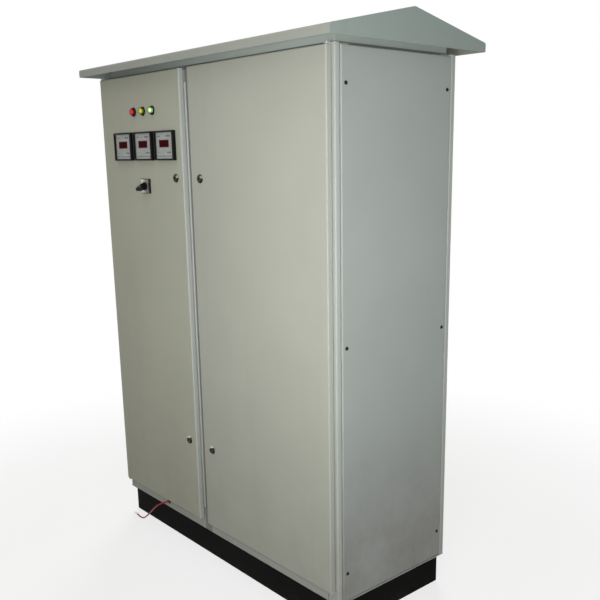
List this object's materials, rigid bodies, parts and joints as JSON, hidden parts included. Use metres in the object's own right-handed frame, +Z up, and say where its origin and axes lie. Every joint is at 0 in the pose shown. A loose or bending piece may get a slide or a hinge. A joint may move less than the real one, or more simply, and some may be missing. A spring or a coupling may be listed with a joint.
{
  "type": "roadside utility cabinet",
  "caption": "Floor-standing grey sheet-metal control cabinet with a gable rain canopy, two hinged overlay doors with locks, meters, pilot lamps and selector, on a black plinth.",
  "frame": {"origin": "centre of the footprint on the floor, under the plinth", "axes": "+Z up, -Y towards the front where the doors are, +X to the right seen from the front"},
  "size_m": [1.36, 0.619, 1.7994],
  "materials": {
    "door_paint": "fine-textured powder coat, pebble grey",
    "frame_paint": "fine-textured powder coat, pebble grey",
    "panel_paint": "fine-textured powder coat, cool grey",
    "canopy_paint": "fine-textured powder coat, pale grey",
    "plinth_black": "black powder coat, dusty at the floor",
    "zinc_steel": "zinc plated",
    "bare_steel": "turned steel, oiled",
    "lock_steel": "plated die casting",
    "core_steel": "varnished laminations",
    "black_steel": "black oxide",
    "chrome": "bright chrome plate",
    "black_plastic": "moulded black plastic",
    "gear_grey": "moulded dark grey plastic",
    "duct_grey": "grey extruded plastic",
    "terminal_grey": "grey moulded plastic",
    "meter_face": "printed light grey plate",
    "display_red": "dark red filter window",
    "lens_red": "translucent red dome",
    "lens_yellow": "translucent yellow dome",
    "lens_green": "translucent green dome",
    "silver_plate": "satin metal plate",
    "rubber": "black foam rubber",
    "copper": "bare copper bar",
    "winding_copper": "varnished copper winding",
    "lead_red": "red insulated wire"
  },
  "bodies": {
    "cabinet": {"plinth": "plinth_black", "plinth_bolts": "zinc_steel", "base_tray": "frame_paint", "gland_plate": "zinc_steel", "cable_glands": "black_plastic", "corner_posts": "frame_paint", "mullion": "frame_paint", "top_deck": "frame_paint", "canopy_neck": "frame_paint", "canopy": "canopy_paint", "canopy_bolts": "zinc_steel", "left_side_panel": "panel_paint", "right_side_panel": "panel_paint", "rear_panel": "panel_paint", "left_panel_screws": "black_steel", "right_panel_screws": "black_steel", "rear_panel_screws": "black_steel", "hinge_lugs": "frame_paint", "pivot_pins": "bare_steel", "mounting_plate": "zinc_steel", "plate_brackets": "zinc_steel", "din_rails": "zinc_steel", "wiring_ducts": "duct_grey", "main_breaker": "gear_grey", "contactors": "gear_grey", "terminal_strip": "terminal_grey", "earth_bar": "copper", "transformer_core": "core_steel", "transformer_windings": "winding_copper", "lead_grommet": "rubber", "red_lead": "lead_red", "lead_lug": "zinc_steel"},
    "left_door": {"left_door": "door_paint", "left_door_stiffeners": "frame_paint", "left_pivot_blocks": "bare_steel", "left_door_gasket": "rubber", "left_lock_housings": "chrome", "meter_housing_1": "black_plastic", "meter_housing_2": "black_plastic", "meter_housing_3": "black_plastic", "meter_faces": "meter_face", "meter_displays": "display_red", "lamp_bodies": "black_plastic", "lamp_lens_red": "lens_red", "lamp_lens_yellow": "lens_yellow", "lamp_lens_green": "lens_green", "selector_switch": "black_plastic", "selector_plate": "silver_plate"},
    "right_door": {"right_door": "door_paint", "right_door_stiffeners": "frame_paint", "right_pivot_blocks": "bare_steel", "right_door_gasket": "rubber", "right_lock_housings": "chrome"},
    "selector": {"selector_knob": "black_plastic"},
    "left_upper_lock": {"left_upper_lock_cam": "lock_steel"},
    "left_lower_lock": {"left_lower_lock_cam": "lock_steel"},
    "right_upper_lock": {"right_upper_lock_cam": "lock_steel"},
    "right_lower_lock": {"right_lower_lock_cam": "lock_steel"},
    "breaker_lever": {"breaker_toggle": "black_plastic"}
  },
  "joints": [
    {"name": "left_door_hinge", "type": "hinge", "parent": "cabinet", "child": "left_door", "pos_m": [-0.6075, -0.2545, 0.9185], "axis": [0, 0, -1], "range_deg": [0, 110]},
    {"name": "right_door_hinge", "type": "hinge", "parent": "cabinet", "child": "right_door", "pos_m": [0.6075, -0.2545, 0.9185], "axis": [0, 0, 1], "range_deg": [0, 110]},
    {"name": "left_upper_lock_turn", "type": "hinge", "parent": "left_door", "child": "left_upper_lock", "pos_m": [-0.125, -0.2635, 1.35], "axis": [0, -1, 0], "range_deg": [0, 90]},
    {"name": "left_lower_lock_turn", "type": "hinge", "parent": "left_door", "child": "left_lower_lock", "pos_m": [-0.125, -0.2635, 0.43696], "axis": [0, -1, 0], "range_deg": [0, 90]},
    {"name": "right_upper_lock_turn", "type": "hinge", "parent": "right_door", "child": "right_upper_lock", "pos_m": [0.017, -0.2635, 1.35], "axis": [0, 1, 0], "range_deg": [0, 90]},
    {"name": "right_lower_lock_turn", "type": "hinge", "parent": "right_door", "child": "right_lower_lock", "pos_m": [0.017, -0.2635, 0.43696], "axis": [0, 1, 0], "range_deg": [0, 90]},
    {"name": "selector_turn", "type": "hinge", "parent": "left_door", "child": "selector", "pos_m": [-0.32255, -0.2635, 1.321], "axis": [0, 1, 0], "range_deg": [0, 135]},
    {"name": "breaker_lever_tilt", "type": "hinge", "parent": "cabinet", "child": "breaker_lever", "pos_m": [-0.3402, 0.1035, 1.394], "axis": [1, 0, 0], "range_deg": [0, 36]}
  ]
}
